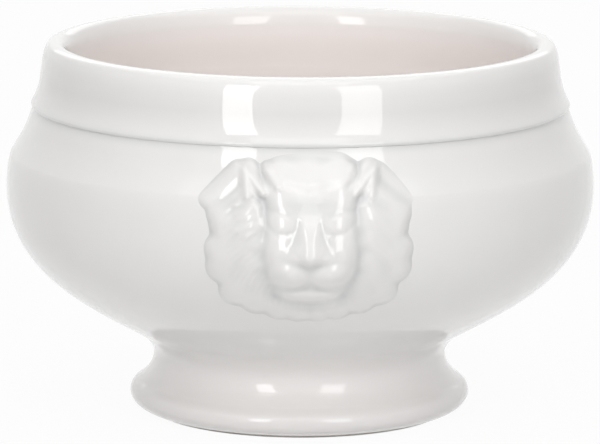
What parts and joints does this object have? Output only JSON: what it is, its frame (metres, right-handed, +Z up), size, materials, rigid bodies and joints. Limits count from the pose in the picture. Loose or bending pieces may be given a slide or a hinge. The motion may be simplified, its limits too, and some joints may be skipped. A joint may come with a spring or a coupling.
{
  "type": "footed soup bowl",
  "caption": "White glazed porcelain soup bowl with a rolled lip, a round shouldered belly, a flared hollow foot and a lion mask on each side.",
  "frame": {"origin": "on the bowl's axis, in the plane of the table that the foot stands on", "axes": "+Z up along the bowl's axis, -Y towards the lion mask that faces the viewer, +X to the viewer's right"},
  "size_m": [0.134, 0.15, 0.0848],
  "materials": {
    "white_glaze": "clear gloss glaze over white porcelain",
    "bare_porcelain": "bare, ground smooth, matt"
  },
  "bodies": {
    "root": {"rim_collar": "white_glaze", "belly": "white_glaze", "pedestal_foot": "white_glaze", "foot_ring": "bare_porcelain", "lion_mask_front": "white_glaze", "lion_mask_rear": "white_glaze"}
  },
  "joints": []
}
